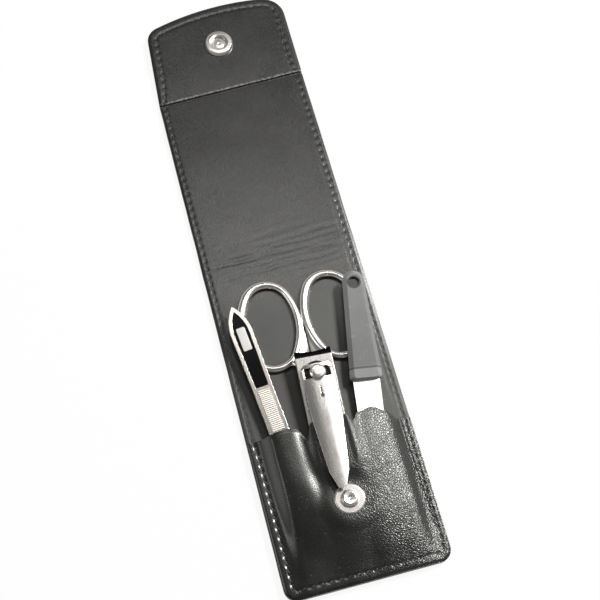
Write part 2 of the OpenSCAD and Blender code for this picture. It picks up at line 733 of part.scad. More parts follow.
// Nail file: drawn from the blade's tip, handle towards +Y, handle's underside at z = 0
module on_file() {
    from_end() translate([file_x, file_y, file_z]) rotate([file_pitch, 0, file_turn]) children();
}

module handle_2d(inset) {
    low_r = 1;
    hull() {
        translate([0, file_l + handle_l - handle_end_r]) circle(handle_end_r - inset, $fn = 32);
        for (side = [-1, 1])
            translate([side * (handle_w / 2 - low_r - inset), file_l + low_r]) circle(low_r, $fn = 16);
    }
}

module tang_2d(grow) {
    translate([-tang_w / 2 - grow, file_l - 1]) square([tang_w + 2 * grow, tang_l + 1 + grow]);
}

module file_handle() {
    dimple_r = 2.2;
    dimple_h = 1.2;
    color([0.36, 0.36, 0.35, 0.8]) on_file() difference() {
        hull() {
            linear_extrude(handle_t - handle_bevel) handle_2d(0);
            linear_extrude(handle_t) handle_2d(handle_bevel);
        }
        translate([0, 0, file_rise - inset_play]) linear_extrude(file_t + 2 * inset_play)
            tang_2d(inset_play);
        translate([0, file_l + handle_l - handle_end_r - 1, handle_t - dimple_h])
            cylinder(r = dimple_r, h = cut);
    }
}

module file_blade() {
    color([0.85, 0.85, 0.83]) on_file() translate([0, 0, file_rise]) linear_extrude(file_t) {
        polygon([[0, 0], [1.3, 0.9], [0.3 * file_w, 7], [0.42 * file_w, 16], [0.47 * file_w, 30],
            [file_w / 2, file_l - inset_play], [-file_w / 2, file_l - inset_play],
            [-0.47 * file_w, 30], [-0.42 * file_w, 16], [-0.3 * file_w, 7], [-1.3, 0.9]]);
        tang_2d(0);
    }
}

base_leather();
base_board();
base_lining();
pocket_front();
snap_stud();
stud_post();
spine_leather();
spine_lining();
cover_leather();
cover_board();
cover_lining();
flap_leather();
flap_facing();
snap_socket();
socket_spring();
socket_cap();
scissor_left();
scissor_right();
scissor_screw();
clipper_lower_jaw();
clipper_upper_jaw();
clipper_rivet();
clipper_pin();
clipper_lever();
tweezer_upper_arm();
tweezer_lower_arm();
tweezer_inlay();
tweezer_plaque();
file_handle();
file_blade();
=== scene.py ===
import math
import bpy
from mathutils import Matrix, Vector, kdtree, noise


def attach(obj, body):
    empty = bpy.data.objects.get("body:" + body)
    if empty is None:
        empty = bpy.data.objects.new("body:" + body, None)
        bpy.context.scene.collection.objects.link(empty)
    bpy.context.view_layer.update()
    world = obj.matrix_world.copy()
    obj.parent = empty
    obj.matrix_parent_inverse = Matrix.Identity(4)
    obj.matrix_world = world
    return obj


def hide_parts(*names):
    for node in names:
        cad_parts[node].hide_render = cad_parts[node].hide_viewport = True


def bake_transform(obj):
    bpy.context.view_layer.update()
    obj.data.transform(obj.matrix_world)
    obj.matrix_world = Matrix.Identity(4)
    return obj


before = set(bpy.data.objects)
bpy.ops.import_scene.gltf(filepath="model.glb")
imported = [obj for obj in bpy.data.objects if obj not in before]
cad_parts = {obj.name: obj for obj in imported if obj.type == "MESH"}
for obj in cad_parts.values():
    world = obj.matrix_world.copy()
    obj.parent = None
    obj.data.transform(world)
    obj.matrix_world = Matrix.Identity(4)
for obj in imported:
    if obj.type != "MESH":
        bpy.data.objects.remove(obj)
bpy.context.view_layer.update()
bpy.ops.object.select_all(action="DESELECT")
print("frame loaded:", len(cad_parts), "solids")

# Lengths below are in mm, with y measured from the pocket end of the open case.
case = {
    "width": 65.5, "length": 265.0, "foldY": 131.5, "spineEndY": 144.5, "flapY": 221.5,
    "leather": 1.2, "panel": 2.4, "cornerR": 5.0, "flapLeftR": 7.2, "flapRightR": 10.2,
    "flapArcR": 122.0, "flapTopX": 10.0, "flapTaper": 2.0, "flapSlant": math.radians(2.6),
    "capProud": 0.8, "capFlat": 3.41, "socketY": 245.0,
}
halfW, halfLong = case["width"] / 2, case["length"] / 2
flapTilt = math.asin(case["capProud"] / (case["socketY"] - case["flapY"] - case["capFlat"]))


def smooth(low, high, v):
    t = max(0.0, min(1.0, (v - low) / (high - low)))
    return t * t * (3 - 2 * t)


def between(v, table):  # soft curve through a table of (place, value)
    if v <= table[0][0]:
        return table[0][1]
    for (a, p), (b, q) in zip(table, table[1:]):
        if v <= b:
            t = (v - a) / (b - a)
            return p + (q - p) * t * t * (3 - 2 * t)
    return table[-1][1]


def straight(v, table):
    if v <= table[0][0]:
        return table[0][1]
    for (a, p), (b, q) in zip(table, table[1:]):
        if v <= b:
            return p + (q - p) * (v - a) / (b - a)
    return table[-1][1]


def creaseY(x):  # the flap crease runs a little aslant
    return case["flapY"] + x * math.tan(case["flapSlant"])


creaseTurn = (Matrix.Translation((0, case["flapY"], case["leather"] / 2))
              @ Matrix.Rotation(case["flapSlant"], 4, "Z") @ Matrix.Rotation(flapTilt, 4, "X")
              @ Matrix.Rotation(-case["flapSlant"], 4, "Z")
              @ Matrix.Translation((0, -case["flapY"], -case["leather"] / 2)))


def place(x, y, z):  # from case measure to the frame, with the flap leaning up from its crease
    flat = Vector((x, y, z))
    lean = smooth(-0.6, 0.6, y - creaseY(x))
    if lean > 0:
        flat = flat.lerp(creaseTurn @ flat, lean)
    return Vector((flat.x, flat.y - halfLong, flat.z)) / 1000


def arcPoints(cx, cy, r, start, stop, count):
    return [(cx + r * math.cos(start + (stop - start) * k / count),
             cy + r * math.sin(start + (stop - start) * k / count)) for k in range(count + 1)]


def outlineCurves():  # the left side and the right, both from the pocket end, and the flap's arc
    r = case["cornerR"]
    leftR, rightR, arcR = case["flapLeftR"], case["flapRightR"], case["flapArcR"]
    arcX, arcY = case["flapTopX"], case["length"] - arcR
    leftX = -halfW + case["flapTaper"] + leftR
    rightX = halfW - rightR
    leftY = arcY + math.sqrt((arcR - leftR) ** 2 - (leftX - arcX) ** 2)
    rightY = arcY + math.sqrt((arcR - rightR) ** 2 - (rightX - arcX) ** 2)
    leftTop = math.atan2(leftY - arcY, leftX - arcX)
    rightTop = math.atan2(rightY - arcY, rightX - arcX)
    startY = creaseY(-halfW)
    run = math.hypot(leftX + halfW, leftY - startY)
    lean = math.atan2(leftY - startY, leftX + halfW) + math.asin(leftR / run)
    left = arcPoints(-halfW + r, r, r, -math.pi / 2, -math.pi, 10) + [(-halfW, startY)]
    left += arcPoints(leftX, leftY, leftR, lean + math.pi / 2, leftTop, 12)
    right = arcPoints(halfW - r, r, r, -math.pi / 2, 0, 10) + [(halfW, startY)]
    right += arcPoints(rightX, rightY, rightR, 0, rightTop, 12)
    return left, right, arcPoints(arcX, arcY, arcR, leftTop, rightTop, 40)


leftEdge, rightEdge, topEdge = outlineCurves()

# The stitch line follows the whole outline
stitching = {
    "pitch": 3.6, "long": 2.3, "wide": 0.60, "tall": 0.46, "slant": 0.30, "bow": 0.10,
    "step": 0.25, "sink": 0.07, "pull": 0.24, "reach": 0.55,
    "topDown": 0.13, "underUp": 0.12, "creaseGap": 2.8,
}
insetLeft = [(0, 3.5), (54, 3.4), (66, 2.4), (220, 2.3), (232, 3.7)]
insetRight = [(0, 3.4), (10, 2.5), (66, 2.4), (220, 2.5), (232, 3.7)]


def evenly(loop):  # the same closed line with its points a fixed step apart
    fine, rest = [], 0.0
    for (x0, y0), (x1, y1) in zip(loop, loop[1:] + loop[:1]):
        long = math.hypot(x1 - x0, y1 - y0)
        while rest < long:
            fine.append((x0 + (x1 - x0) * rest / long, y0 + (y1 - y0) * rest / long))
            rest += stitching["step"]
        rest -= long
    return fine


def outlineRoute(inward):  # 0 is the outline itself and 1 is the stitch line
    rim = evenly(leftEdge + topEdge[1:-1] + rightEdge[::-1])
    moved = []
    for number, (x, y) in enumerate(rim):
        (ax, ay), (bx, by) = rim[number - 4], rim[(number + 4) % len(rim)]
        run = math.hypot(bx - ax, by - ay)
        share = smooth(-25, 25, x)
        inset = inward * (between(y, insetLeft) * (1 - share) + between(y, insetRight) * share)
        moved.append((x + (by - ay) / run * inset, y - (bx - ax) / run * inset))
    return evenly(moved)


route = outlineRoute(1)


def treeOf(points):
    tree = kdtree.KDTree(len(points))
    for number, (x, y) in enumerate(points):
        tree.insert((x, y, 0), number)
    tree.balance()
    return tree


routeTree = treeOf(route)
rimTree = treeOf(outlineRoute(0))


def seam(x, y):  # how deep the thread pulls the leather in
    found = routeTree.find((x, y, 0))
    beat = 0.5 + 0.5 * math.cos(2 * math.pi * found[1] * stitching["step"] / stitching["pitch"])
    depth = stitching["sink"] + stitching["pull"] * beat ** 2
    return depth * math.exp(-(found[2] / stitching["reach"]) ** 2)


rimShape = {"fall": 0.30, "reach": 1.5, "curve": 1.5}


def rimFall(x, y):  # the border falls away outside the stitches
    away = rimTree.find((x, y, 0))[2]
    return rimShape["fall"] * (1 - smooth(0.0, rimShape["reach"], away)) ** rimShape["curve"]


def selectOnly(piece):
    bpy.ops.object.select_all(action="DESELECT")
    piece.select_set(True)
    bpy.context.view_layer.objects.active = piece


def gridSheet(name, cols, rows, spot):  # a grid whose points are put in place one by one
    bpy.ops.object.select_all(action="DESELECT")
    bpy.ops.mesh.primitive_grid_add(x_subdivisions=cols, y_subdivisions=rows, size=1)
    piece = bpy.context.object
    piece.name = piece.data.name = name
    for vert in piece.data.vertices:
        vert.co = spot(vert.co.x + 0.5, vert.co.y + 0.5)
    return piece


def thicken(piece, drop, rim, joints=()):  # closes the sheet downwards and rounds its rim
    selectOnly(piece)
    bpy.ops.object.mode_set(mode="EDIT")
    bpy.ops.mesh.select_all(action="SELECT")
    bpy.ops.mesh.extrude_region_move(TRANSFORM_OT_translate={"value": (0, 0, -drop / 1000)})
    bpy.ops.mesh.select_all(action="SELECT")
    bpy.ops.mesh.normals_make_consistent(inside=False)
    bpy.ops.object.mode_set(mode="OBJECT")
    weights = piece.data.attributes.new("bevel_weight_edge", "FLOAT", "EDGE")
    sides = {}
    for face in piece.data.polygons:
        for key in face.edge_keys:
            sides.setdefault(key, []).append(face.normal)
    for edge in piece.data.edges:
        normals = sides[tuple(sorted(edge.vertices))]
        middleY = sum((piece.data.vertices[v].co.y for v in edge.vertices)) * 500 + halfLong
        flush = any(abs(middleY - joint) < 0.05 for joint in joints)
        if normals[0].dot(normals[-1]) < 0.64 and not flush:  # a bend of more than 50 degrees
            weights.data[edge.index].value = 1.0
    bevel = piece.modifiers.new("rim", "BEVEL")
    bevel.limit_method = "WEIGHT"
    bevel.width, bevel.segments = rim / 1000, 3
    bpy.ops.object.modifier_apply(modifier="rim")
    bpy.ops.object.shade_smooth_by_angle(angle=math.radians(50))
    return piece


def crowded(s):  # more columns near both sides
    u = 2 * s - 1
    return 1.32 * u - 0.32 * u ** 3


def wave(x, y, size, seed):
    return noise.noise(Vector((x / size, y / size, seed)))


# Soft creases where the cover folds over, as (y at the middle, slope, depth, width, from x, to x)
foldMarks = [
    (133.6, 0.030, 0.10, 0.95, -31, 30), (136.8, 0.055, 0.07, 0.80, -20, 32),
    (139.6, 0.020, 0.11, 1.05, -32, 22), (142.4, 0.060, 0.07, 0.85, -26, 31),
    (145.4, 0.040, 0.06, 1.00, -12, 32), (130.6, 0.045, 0.07, 0.85, -6, 32),
    (148.8, 0.075, 0.04, 1.20, -24, 20), (127.4, 0.030, 0.05, 1.00, 0, 30),
    (138.2, -0.035, 0.05, 0.60, -30, 2), (134.9, 0.090, 0.05, 0.55, 4, 32),
]


def foldDepth(x, y):
    if y < 118 or y > 160:
        return 0.0
    total = 0.0
    for midY, slope, depth, wide, fromX, toX in foldMarks:
        line = midY + slope * x + 1.1 * wave(x, midY * 7, 11, 3.1)
        fade = smooth(fromX - 3, fromX + 9, x) * (1 - smooth(toX - 10, toX + 2, x))
        fade *= 0.6 + 0.8 * abs(wave(x, midY * 3, 7, 9.2))
        off = (y - line) / wide
        total += depth * fade * (math.exp(-off ** 2) - 0.55 * math.exp(-(off - 1.7) ** 2))
    return total


def rowY(t, fromY, toY):  # rows crowd into the round corners at the pocket end
    if fromY > 0:
        return fromY + (toY - fromY) * t
    if t < 0.08:
        return case["cornerR"] * (1 - math.cos(t / 0.08 * math.pi / 2))
    return case["cornerR"] + (toY - case["cornerR"]) * (t - 0.08) / 0.92


def stripSpot(fromY, toY, top, surface, slanted=False):
    def spot(s, t):
        y = rowY(t, fromY, toY)
        r = case["cornerR"]
        side = halfW if y >= r else halfW - r + math.sqrt(max(0.0, r * r - (r - y) ** 2))
        side += 0.10 * wave(y, 0, 11, 7.7)
        x = side * crowded(s)
        if slanted:
            y += t * t * x * math.tan(case["flapSlant"])
        return place(x, y, top + surface(x, y))
    return spot


def flapSpot(gap, top, surface):
    left = [p for p in leftEdge if p[1] > creaseY(-halfW)]
    right = [p for p in rightEdge if p[1] > creaseY(-halfW) + 4]
    low = (-halfW, creaseY(-halfW) + gap), (halfW, creaseY(halfW) + gap)

    def side(line, start, t):
        corner = len(line) - 1
        if t < 0.75:
            a, b, k = start, line[0], t / 0.75
        else:
            u = (t - 0.75) / 0.25 * corner
            n = min(corner - 1, int(u))
            a, b, k = line[n], line[n + 1], u - n
        return a[0] + (b[0] - a[0]) * k, a[1] + (b[1] - a[1]) * k

    def spot(s, t):
        lx, ly = side(left, low[0], t)
        rx, ry = side(right, low[1], t)
        u = (crowded(s) + 1) / 2
        x, y = lx + (rx - lx) * u, ly + (ry - ly) * u
        endX = topEdge[0][0] + (topEdge[-1][0] - topEdge[0][0]) * u
        chord = topEdge[0][1] + (topEdge[-1][1] - topEdge[0][1]) * u
        rise = math.sqrt(case["flapArcR"] ** 2 - (endX - case["flapTopX"]) ** 2)
        y += (case["length"] - case["flapArcR"] + rise - chord) * t ** 3
        return place(x, y, top + surface(x, y))
    return spot


# The lining swells a little, and a pressed line runs up its right side from the pocket's mouth
lining = {
    "swell": 0.05, "ripple": 0.015, "lineX": 28.4, "lineSway": 0.2, "lineDeep": 0.16, "lineWide": 0.38,
}


def liningFace(x, y):
    z = -seam(x, y) - rimFall(x, y)
    z += lining["swell"] * wave(x, y, 17, 1.3) + lining["ripple"] * wave(x, y, 5, 4.4)
    z -= foldDepth(x, y)
    off = (x - lining["lineX"] - lining["lineSway"] * wave(y, 0, 20, 2.0)) / lining["lineWide"]
    return z - lining["lineDeep"] * math.exp(-off ** 2) * smooth(60, 75, y)


def outerFace(x, y):  # flat, until skinBelow shapes it
    return 0.0


print("building the leather sheets")
sheets = {
    "cols": 70, "rim": 0.35, "skinRim": 0.40, "joinY": 138, "skinJoinY": 180,
    "liningGap": 0.75, "facingGap": 0.55,
}
liningThick, liningEndY = case["panel"] - case["leather"], case["flapY"] - sheets["liningGap"]


def strip(name, rows, fromY, toY, top, surface, slanted=False):
    return gridSheet(name, sheets["cols"], rows, stripSpot(fromY, toY, top, surface, slanted))


liningLow = strip("liningLow", 190, 0, sheets["joinY"], case["panel"], liningFace)
thicken(liningLow, liningThick, sheets["rim"], (sheets["joinY"],))
liningHigh = strip("liningHigh", 130, sheets["joinY"], liningEndY, case["panel"], liningFace, True)
thicken(liningHigh, liningThick, sheets["rim"], (sheets["joinY"],))
facing = gridSheet("facing", sheets["cols"], 80, flapSpot(sheets["facingGap"], case["panel"], liningFace))
thicken(facing, liningThick, sheets["rim"])


def skinBelow(piece):  # the thread pulls the outer leather in from below as well
    for vert in piece.data.vertices:
        x, y, z = vert.co.x * 1000, vert.co.y * 1000 + halfLong, vert.co.z * 1000
        if z < (y - case["flapY"]) * math.tan(flapTilt) * (1 if y > case["flapY"] else 0) + 0.5:
            vert.co.z += (1.1 * seam(x, y) + 0.7 * rimFall(x, y)) / 1000


skinLow = strip("skinLow", 190, 0, sheets["joinY"], case["leather"], outerFace)
skinMiddle = strip("skinMiddle", 60, sheets["joinY"], sheets["skinJoinY"], case["leather"], outerFace)
skinHigh = strip("skinHigh", 60, sheets["skinJoinY"], case["flapY"], case["leather"], outerFace, True)
skinFlap = gridSheet("skinFlap", sheets["cols"], 80, flapSpot(0.0, case["leather"], outerFace))
for piece in (skinHigh, skinFlap):
    piece.select_set(True)
bpy.context.view_layer.objects.active = skinHigh
bpy.ops.object.join()
bpy.ops.object.mode_set(mode="EDIT")
bpy.ops.mesh.select_all(action="SELECT")
bpy.ops.mesh.remove_doubles(threshold=0.00002)
bpy.ops.object.mode_set(mode="OBJECT")
for piece in (skinLow, skinMiddle, skinHigh):
    thicken(piece, case["leather"], sheets["skinRim"], (sheets["joinY"], sheets["skinJoinY"]))
    skinBelow(piece)

# Moulded pocket: the measures of the solid, and the line of its mouth as (x, y)
pocket = {
    "thick": 1.1, "mouthY": 63.3, "leftH": 5.4719, "rightH": 5.5257, "middleH": 6.897,
    "leftWide": 8.1, "rightWide": 9.2, "middleWide": 9.6,
    "tailH": 5.4, "studH": 4.5, "studY": 31.0, "studR": 5.9, "tailY": 41.8,
}
mouthLine = [(-33, 62.5), (-26, 62.5), (-17, 63.3), (-13, 62.5), (-9.4, 57.7), (-7, 63.0), (0, 63.3),
             (7, 63.1), (9.3, 59.7), (12, 62.9), (18, 63.9), (23, 61.5), (27.4, 57.4), (33, 57.4)]


def bulge(u, power):
    return 0.0 if abs(u) >= 1 else (1 - abs(u) ** power) ** (1 / power)


def fadeUp(y, low, power):
    return max(0.0, min(1.0, (y - low) / (pocket["mouthY"] - low))) ** power


def merged(left, right, middle):
    return (left ** 4 + right ** 4 + middle ** 4) ** 0.25


def pocketTop(x, y):  # the height of the solid, which holds over the clipper's lever
    leftU = (x - straight(y, [(30, -16), (63.3, -17.2)])) / pocket["leftWide"]
    rightU = (x - straight(y, [(26, 14.8), (63.3, 18.3)])) / pocket["rightWide"]
    left = pocket["leftH"] * fadeUp(y, 19, 0.35) * bulge(leftU, 3)
    right = pocket["rightH"] * fadeUp(y, 10, 0.5) * bulge(rightU, 2.6)
    studH, studY, studR = pocket["studH"], pocket["studY"], pocket["studR"]
    middle = bulge(x / pocket["middleWide"], 7) * straight(y, [
        (7, 0), (13, studH * 0.6), (studY - 1.6 * studR, studH * 0.95), (studY - 1.05 * studR, studH),
        (studY + 1.05 * studR, studH), (pocket["tailY"], pocket["tailH"]),
        (pocket["mouthY"], pocket["middleH"])])
    return merged(left, right, middle)


# A soft form for the pocket: easyTop is spread and eased on a fine grid, then joined with a low dome
softPocket = {
    "step": 0.55, "halfX": 36, "longY": 70, "spread": 0.9, "ease": 1.5, "join": 1.6,
    "dome": 4.3, "domeX": 1, "domeWide": 29, "valley": 0.6, "valleyX": -9.3, "valleyWide": 3.2,
    "rightFade": (24.2, 29.4), "leftFade": (22.6, 29.6), "studFade": (6.3, 13.0),
    "leverFade": (5.8, 7.4), "leverRoom": 0.12, "outerWide": 11.5,
    "creaseX": 28.2, "creaseDeep": 0.28, "creaseWide": 0.5, "swell": 0.11, "ripple": 0.04,
    "lipDrop": 0.2, "lipLong": 1.6,
}
rightSlope = [(4, 0.55), (7, 0.92), (10, 1.0), (14, 0.96), (18, 0.87), (22.5, 0.72), (25, 0.52), (28, 0)]
rightRise = [(-2, 0), (12, 2.9), (25, 4.3), (38, 4.7), (50, 5.4), (63, 5.9)]


def easyTop(x, y):  # the same bulges, rising slowly from the pocket end and leaning outwards
    leftX = x - straight(y, [(30, -16), (63.3, -17.6)])
    inner, outer = bulge(leftX / pocket["leftWide"], 2.6), bulge(leftX / softPocket["outerWide"], 2.0)
    left = pocket["leftH"] * smooth(2, 44, y) * (inner if leftX > 0 else outer)
    right = straight(y, rightRise) * straight(x, rightSlope) * smooth(3.5, 6, x)
    middle = bulge(x / pocket["middleWide"], 2.5 + 4.5 * smooth(40, 50, y)) * straight(y, [
        (1, 0), (25, pocket["studH"]), (35.5, pocket["studH"]),
        (pocket["tailY"] - 2.4, pocket["tailH"] + 0.2), (pocket["mouthY"], pocket["middleH"] + 0.1)])
    return merged(left, right, middle)


def makeField():
    step, halfX = softPocket["step"], softPocket["halfX"]
    cols, rows = int(2 * halfX / step) + 1, int(softPocket["longY"] / step) + 1
    raw = [[easyTop(-halfX + i * step, min(pocket["mouthY"], j * step)) for i in range(cols)]
           for j in range(rows)]
    reach = int(softPocket["spread"] / step) + 1
    disc = [(a, b) for a in range(-reach, reach + 1) for b in range(-reach, reach + 1)
            if math.hypot(a, b) * step <= softPocket["spread"]]
    wide = [[max(raw[min(rows - 1, max(0, j + b))][min(cols - 1, max(0, i + a))] for a, b in disc)
             for i in range(cols)] for j in range(rows)]
    half = int(3 * softPocket["ease"] / step)
    bell = [math.exp(-0.5 * (k * step / softPocket["ease"]) ** 2) for k in range(-half, half + 1)]
    total = sum(bell)
    rowsEased = [[sum(w * line[min(cols - 1, max(0, i + k - half))] for k, w in enumerate(bell)) / total
                  for i in range(cols)] for line in wide]
    return [[sum(w * rowsEased[min(rows - 1, max(0, j + k - half))][i] for k, w in enumerate(bell)) / total
             for i in range(cols)] for j in range(rows)]


field = makeField()


def fieldAt(x, y):
    u, v = (x + softPocket["halfX"]) / softPocket["step"], max(0.0, y / softPocket["step"])
    i, j = min(len(field[0]) - 2, int(u)), min(len(field) - 2, int(v))
    a, b = u - i, v - j
    return ((field[j][i] * (1 - a) + field[j][i + 1] * a) * (1 - b)
            + (field[j + 1][i] * (1 - a) + field[j + 1][i + 1] * a) * b)


def overLever(x, y):  # 1 above the clipper's lever
    return (1 - smooth(*softPocket["leverFade"], abs(x))) * smooth(40, 50, y)


def pocketHeight(x, y):
    hard = pocketTop(x, min(pocket["mouthY"], y))
    acrossDome = abs(x - softPocket["domeX"]) / softPocket["domeWide"]
    dome = softPocket["dome"] * smooth(-3, 33, y) * max(0.0, 1 - acrossDome ** 2)
    fromValley = (x - softPocket["valleyX"]) / softPocket["valleyWide"]
    dome *= 1 - softPocket["valley"] * smooth(38, 58, y) * math.exp(-fromValley ** 2)
    soft = fieldAt(x, y)
    near = max(0.0, 1 - abs(soft - dome) / softPocket["join"])
    h = max(soft, dome) + near * near * softPocket["join"] / 4
    h *= (1 - smooth(*softPocket["rightFade"], x)) * (1 - smooth(*softPocket["leftFade"], -x))
    h += (min(h, hard + softPocket["leverRoom"]) - h) * overLever(x, y)
    fromStud = math.hypot(x, y - pocket["studY"])
    return h + (pocket["studH"] - h) * (1 - smooth(*softPocket["studFade"], fromStud))


def pocketSoft(x, y):
    return case["panel"] + pocket["thick"] + pocketHeight(x, y)


def pocketSpot(s, t):
    x = halfW * crowded(s)
    mouth = between(x, mouthLine)
    r = case["cornerR"]
    if t < 0.10:
        y = r * (1 - math.cos(t / 0.10 * math.pi / 2))
        side = halfW - r + math.sqrt(max(0.0, r * r - (r - y) ** 2))
        x *= side / halfW
    else:
        y = r + (mouth - r) * (t - 0.10) / 0.90
    h = pocketHeight(x, y)
    z = case["panel"] + pocket["thick"] + h - seam(x, y) - 1.3 * rimFall(x, y)
    crease = softPocket["creaseX"] + 1.0 * smooth(57, 15, y)
    off = (x - crease) / softPocket["creaseWide"]
    z -= softPocket["creaseDeep"] * math.exp(-off ** 2) * smooth(8, 18, y)
    away = smooth(6.3, 9, math.hypot(x, y - pocket["studY"])) * smooth(0, 1.0, h)
    uneven = softPocket["swell"] * wave(x, y, 10, 2.2) + softPocket["ripple"] * wave(x, y, 4.5, 5.5)
    z += away * uneven * (1 - 0.7 * overLever(x, y))
    z -= softPocket["lipDrop"] * smooth(mouth - softPocket["lipLong"], mouth, y) * smooth(2, 4, h)
    return place(x, y, z)


print("building the moulded pocket")
pocketPiece = gridSheet("mouldedPocket", 170, 170, pocketSpot)
thicken(pocketPiece, pocket["thick"], 0.34)

# Stitches: one is modelled, the others are its copies
print("sewing the stitches")
bpy.ops.mesh.primitive_uv_sphere_add(segments=8, ring_count=5, radius=0.5)
stitchModel = bpy.context.object
for vert in stitchModel.data.vertices:
    vert.co.x *= stitching["long"]
    vert.co.y *= stitching["wide"]
    bow = stitching["bow"] * (vert.co.x / stitching["long"] * 2) ** 2
    vert.co.z = vert.co.z * stitching["tall"] - bow


def stitchAt(index, z, below):
    x, y = route[index % len(route)]
    ahead = route[(index + 4) % len(route)]
    back = route[index - 4]
    turn = math.atan2(ahead[1] - back[1], ahead[0] - back[0]) + stitching["slant"]
    stand = Matrix.Translation((x, y, z)) @ Matrix.Rotation(turn, 4, "Z")
    if below:
        stand = stand @ Matrix.Rotation(math.pi, 4, "X")
    copy = stitchModel.copy()
    copy.data = stitchModel.data.copy()
    for vert in copy.data.vertices:
        vert.co = place(*(stand @ vert.co))
    bpy.context.scene.collection.objects.link(copy)
    return copy


def bodyAt(x, y):
    if y > creaseY(x):
        return "flap"
    return "base" if y < case["foldY"] else "spine" if y < case["spineEndY"] else "cover"


def sewRow(name, below):
    groups = {}
    gap = int(round(stitching["pitch"] / stitching["step"]))
    for index in range(gap // 2, len(route) - gap // 2, gap):
        x, y = route[index]
        inPocket = y < between(x, mouthLine) - 0.8
        if not below and abs(y - creaseY(x)) < stitching["creaseGap"]:
            continue
        face = pocketSoft(x, y) if inPocket else case["panel"]
        z = stitching["underUp"] if below else face - stitching["topDown"]
        groups.setdefault(bodyAt(x, y), []).append(stitchAt(index, z, below))
    for body, copies in groups.items():
        bpy.ops.object.select_all(action="DESELECT")
        for copy in copies:
            copy.select_set(True)
        bpy.context.view_layer.objects.active = copies[0]
        bpy.ops.object.join()
        row = bpy.context.object
        row.name = row.data.name = name + body.capitalize()
        bpy.ops.object.shade_smooth()
        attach(row, body)
        threadRows.append(row)


threadRows = []
sewRow("stitchesTop", False)
sewRow("stitchesUnder", True)
bpy.data.objects.remove(stitchModel)


# The scissors' rings are flattened bands, laid over the round wire of the solids
print("broadening the scissor rings")
rings = {
    "pivot": (0.6, 70.0), "turn": math.radians(-2), "lean": math.radians(-3.5), "x": 13.4, "y": 37.3,
    "a": 11.75, "b": 18.3, "endR": 9.5, "wide": 1.48, "broad": 0.35, "broadAt": math.radians(150),
    "high": 1.21, "middleZ": 3.76, "fromY": -38.5, "thinned": 0.3,
}


def ovalPoint(turn):  # a point of the oval, by the direction of its outward normal
    endY, narrow = rings["b"] - rings["endR"], rings["a"] - rings["endR"]
    sideX = (endY * endY - narrow * narrow) / (2 * narrow)
    if abs(math.cos(turn)) > math.cos(math.atan(endY / sideX)):
        side, sideR = math.copysign(1, math.cos(turn)), sideX + rings["a"]
        return -side * sideX + sideR * math.cos(turn), sideR * math.sin(turn)
    endAt = math.copysign(endY, math.sin(turn))
    return rings["endR"] * math.cos(turn), endAt + rings["endR"] * math.sin(turn)


def ringSpot(x, y, z, side):  # takes a torus of radius 1 and wire 0.1 to the flattened oval
    turn = math.atan2(y, x)
    reach = rings["wide"] + rings["broad"] * max(0.0, math.cos(turn - rings["broadAt"]))
    out = (math.hypot(x, y) - 1) / 0.1
    px, py = ovalPoint(turn)
    spot = Vector((px + math.cos(turn) * out * reach, py + math.sin(turn) * out * reach,
                   z / 0.1 * rings["high"]))
    spot = Matrix.Rotation(rings["lean"] * -side, 3, "Z") @ spot
    spot = Matrix.Rotation(rings["turn"], 3, "Z") @ (spot + Vector((side * rings["x"], rings["y"], 0)))
    return Vector((spot.x + rings["pivot"][0], spot.y + rings["pivot"][1] - halfLong,
                   spot.z + rings["middleZ"])) / 1000


def broadHalf(nodeName, name, side):
    piece = bpy.data.objects.new(name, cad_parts[nodeName].data.copy())
    bpy.context.scene.collection.objects.link(piece)
    selectOnly(piece)
    bpy.ops.object.mode_set(mode="EDIT")
    bpy.ops.mesh.select_all(action="SELECT")
    bpy.ops.mesh.remove_doubles(threshold=0.000002)
    bpy.ops.mesh.select_all(action="DESELECT")
    bpy.ops.object.mode_set(mode="OBJECT")
    for face in piece.data.polygons:
        face.select = face.center.y > rings["fromY"] / 1000
    bpy.ops.object.mode_set(mode="EDIT")
    bpy.ops.transform.shrink_fatten(value=-rings["thinned"] / 1000)
    bpy.ops.object.mode_set(mode="OBJECT")
    bpy.ops.object.select_all(action="DESELECT")
    bpy.ops.mesh.primitive_torus_add(
        major_segments=144, minor_segments=20, major_radius=1, minor_radius=0.1)
    band = bpy.context.object
    for vert in band.data.vertices:
        vert.co = ringSpot(*vert.co, side)
    piece.select_set(True)
    bpy.context.view_layer.objects.active = piece
    bpy.ops.object.join()
    bpy.ops.object.shade_smooth_by_angle(angle=math.radians(35))
    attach(piece, nodeName)
    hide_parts(nodeName)
    return piece


ringPieces = [broadHalf("scissor_left", "leftHalf", -1), broadHalf("scissor_right", "rightHalf", 1)]


# Shading: a socket with the arithmetic that the finishes use
class Wire:
    def __init__(self, tree, socket):
        self.tree, self.socket = tree, socket

    def math(self, operation, first, second=None):
        node = self.tree.nodes.new("ShaderNodeMath")
        node.operation = operation
        for slot, value in zip(node.inputs, (first, second)):
            if isinstance(value, Wire):
                self.tree.links.new(value.socket, slot)
            elif value is not None:
                slot.default_value = value
        return Wire(self.tree, node.outputs[0])

    def absolute(self):
        return self.math("ABSOLUTE", self)

    def sine(self):
        return self.math("SINE", self)

    def larger(self, other):
        return self.math("MAXIMUM", self, other)

    def __add__(self, other):
        return self.math("ADD", self, other)

    def __radd__(self, other):
        return self.math("ADD", other, self)

    def __sub__(self, other):
        return self.math("SUBTRACT", self, other)

    def __rsub__(self, other):
        return self.math("SUBTRACT", other, self)

    def __mul__(self, other):
        return self.math("MULTIPLY", self, other)

    def __rmul__(self, other):
        return self.math("MULTIPLY", other, self)

    def __pow__(self, other):
        return self.math("POWER", self, other)


